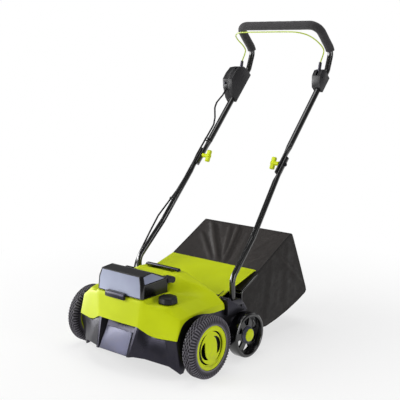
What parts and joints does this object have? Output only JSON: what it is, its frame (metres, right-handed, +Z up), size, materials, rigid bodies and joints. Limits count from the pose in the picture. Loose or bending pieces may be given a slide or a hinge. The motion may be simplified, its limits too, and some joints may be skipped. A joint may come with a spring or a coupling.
{
  "type": "lawn dethatcher",
  "caption": "Walk-behind battery lawn dethatcher: spring-tine rotor under a moulded deck, folding tube handle with starting bail, cranked front axle for depth, rear flap and collection bag.",
  "frame": {"origin": "on the ground, under the middle of the bounding box", "axes": "+X to the left-hand side of the machine, +Y backwards to the person pushing it (the machine faces -Y), +Z up"},
  "size_m": [0.5762, 0.989, 1.1273],
  "materials": {
    "lime_plastic": "satin",
    "black_plastic": "satin",
    "grey_plastic": "satin",
    "smoked_plastic": "gloss",
    "tyre_rubber": "matt",
    "painted_tube": "gloss",
    "lime_wire": "gloss",
    "foam": "matt",
    "fabric": "woven",
    "steel": "bright",
    "rubber": "matt",
    "board_green": "satin"
  },
  "bodies": {
    "machine_body": {"top_cover": "lime_plastic", "carry_handle": "black_plastic", "lower_housing": "black_plastic", "badge_plate": "grey_plastic", "battery_bay": "black_plastic", "cover_hinge_pin": "steel", "drive_motor": "steel", "drive_belt": "rubber", "control_board": "board_green", "flap_hinge_rod": "steel", "rear_axle": "steel", "rotor_bearing_left": "steel", "rotor_bearing_right": "steel", "handle_bracket_left": "black_plastic", "handle_bracket_right": "black_plastic", "bracket_screw_left": "steel", "bracket_screw_right": "steel", "lower_tube_left": "painted_tube", "lower_tube_right": "painted_tube", "handle_bolt_left": "steel", "handle_bolt_right": "steel", "cable_lower": "rubber"},
    "front_axle": {"front_axle": "steel"},
    "front_left_wheel": {"front_left_tyre": "tyre_rubber", "front_left_hub": "lime_plastic"},
    "front_right_wheel": {"front_right_tyre": "tyre_rubber", "front_right_hub": "lime_plastic"},
    "rear_left_wheel": {"rear_left_wheel": "black_plastic", "rear_left_cap": "lime_plastic"},
    "rear_right_wheel": {"rear_right_wheel": "black_plastic", "rear_right_cap": "lime_plastic"},
    "rotor": {"tine_rotor": "steel", "rotor_shaft": "steel", "rotor_pulley": "black_plastic"},
    "motor_shaft": {"motor_pulley": "steel"},
    "depth_control": {"depth_knob": "black_plastic", "depth_spindle": "steel"},
    "battery_cover": {"battery_cover": "smoked_plastic"},
    "cover_latch": {"cover_latch": "black_plastic"},
    "battery_pack_left": {"battery_pack_left": "black_plastic"},
    "battery_pack_right": {"battery_pack_right": "black_plastic"},
    "safety_key": {"safety_key": "lime_plastic"},
    "rear_flap": {"rear_flap": "lime_plastic", "flap_spring": "steel"},
    "upper_handle": {"upper_handle": "painted_tube", "foam_grip": "foam", "switch_box": "black_plastic", "switch_box_cover": "black_plastic", "power_switch": "rubber", "bail_bracket": "black_plastic", "cable_upper": "rubber"},
    "bail": {"bail_bar": "lime_wire", "bail_arm_left": "black_plastic", "bail_arm_right": "black_plastic"},
    "lock_button": {"lock_button": "lime_plastic"},
    "wing_knob_left": {"wing_knob_left": "lime_plastic"},
    "wing_knob_right": {"wing_knob_right": "lime_plastic"},
    "collection_bag": {"collection_bag": "fabric", "bag_frame": "painted_tube"}
  },
  "joints": [
    {"name": "front_axle_swing", "type": "hinge", "parent": "machine_body", "child": "front_axle", "pos_m": [0, -0.37816, 0.1015], "axis": [1, 0, 0], "range_deg": [0, 28]},
    {"name": "depth_knob_turn", "type": "hinge", "parent": "machine_body", "child": "depth_control", "pos_m": [0.1505, -0.38766, 0.2364], "axis": [0, 0, 1], "range_deg": [0, 140]},
    {"name": "front_left_spin", "type": "hinge", "parent": "front_axle", "child": "front_left_wheel", "pos_m": [0.2671, -0.33316, 0.1015], "axis": [1, 0, 0], "continuous": true},
    {"name": "front_right_spin", "type": "hinge", "parent": "front_axle", "child": "front_right_wheel", "pos_m": [-0.2671, -0.33316, 0.1015], "axis": [1, 0, 0], "continuous": true},
    {"name": "rear_left_spin", "type": "hinge", "parent": "machine_body", "child": "rear_left_wheel", "pos_m": [0.2461, -0.10486, 0.0772], "axis": [1, 0, 0], "continuous": true},
    {"name": "rear_right_spin", "type": "hinge", "parent": "machine_body", "child": "rear_right_wheel", "pos_m": [-0.2461, -0.10486, 0.0772], "axis": [1, 0, 0], "continuous": true},
    {"name": "rotor_spin", "type": "hinge", "parent": "machine_body", "child": "rotor", "pos_m": [0, -0.22816, 0.084], "axis": [1, 0, 0], "continuous": true},
    {"name": "motor_spin", "type": "hinge", "parent": "machine_body", "child": "motor_shaft", "pos_m": [0.15, -0.26316, 0.208], "axis": [1, 0, 0], "continuous": true},
    {"name": "battery_cover_swing", "type": "hinge", "parent": "machine_body", "child": "battery_cover", "pos_m": [0, -0.31516, 0.288], "axis": [1, 0, 0], "range_deg": [-80, 0]},
    {"name": "latch_swing", "type": "hinge", "parent": "battery_cover", "child": "cover_latch", "pos_m": [-0.008, -0.46066, 0.2565], "axis": [1, 0, 0], "range_deg": [-35, 0]},
    {"name": "battery_left_lift", "type": "slide", "parent": "machine_body", "child": "battery_pack_left", "axis": [0, 0, 1], "range_m": [0, 0.02]},
    {"name": "battery_right_lift", "type": "slide", "parent": "machine_body", "child": "battery_pack_right", "axis": [0, 0, 1], "range_m": [0, 0.02]},
    {"name": "safety_key_pull", "type": "slide", "parent": "machine_body", "child": "safety_key", "axis": [0, 0, 1], "range_m": [0, 0.01]},
    {"name": "rear_flap_swing", "type": "hinge", "parent": "machine_body", "child": "rear_flap", "pos_m": [0, -0.17966, 0.211], "axis": [1, 0, 0], "range_deg": [0, 60]},
    {"name": "handle_fold", "type": "hinge", "parent": "machine_body", "child": "upper_handle", "pos_m": [0, 0.17104, 0.6227], "axis": [1, 0, 0], "range_deg": [0, 140]},
    {"name": "wing_knob_left_turn", "type": "hinge", "parent": "machine_body", "child": "wing_knob_left", "pos_m": [0.165, 0.17104, 0.6227], "axis": [1, 0, 0], "range_deg": [0, 180]},
    {"name": "wing_knob_right_turn", "type": "hinge", "parent": "machine_body", "child": "wing_knob_right", "pos_m": [-0.165, 0.17104, 0.6227], "axis": [1, 0, 0], "range_deg": [0, 180]},
    {"name": "bail_swing", "type": "hinge", "parent": "upper_handle", "child": "bail", "pos_m": [0, 0.40884, 0.944], "axis": [1, 0, 0], "range_deg": [-16.5, 0]},
    {"name": "lock_button_press", "type": "slide", "parent": "upper_handle", "child": "lock_button", "axis": [0, 0.9967, 0.0815], "range_m": [0, 0.004], "stiffness_N_per_m": 200},
    {"name": "bag_slide", "type": "slide", "parent": "machine_body", "child": "collection_bag", "axis": [0, 0.9636, 0.2672], "range_m": [0, 0.35]}
  ],
  "couplings": [
    {"joint": "depth_knob_turn", "follows": "front_axle_swing", "ratio": 5},
    {"joint": "motor_spin", "follows": "rotor_spin", "ratio": 1.76}
  ]
}
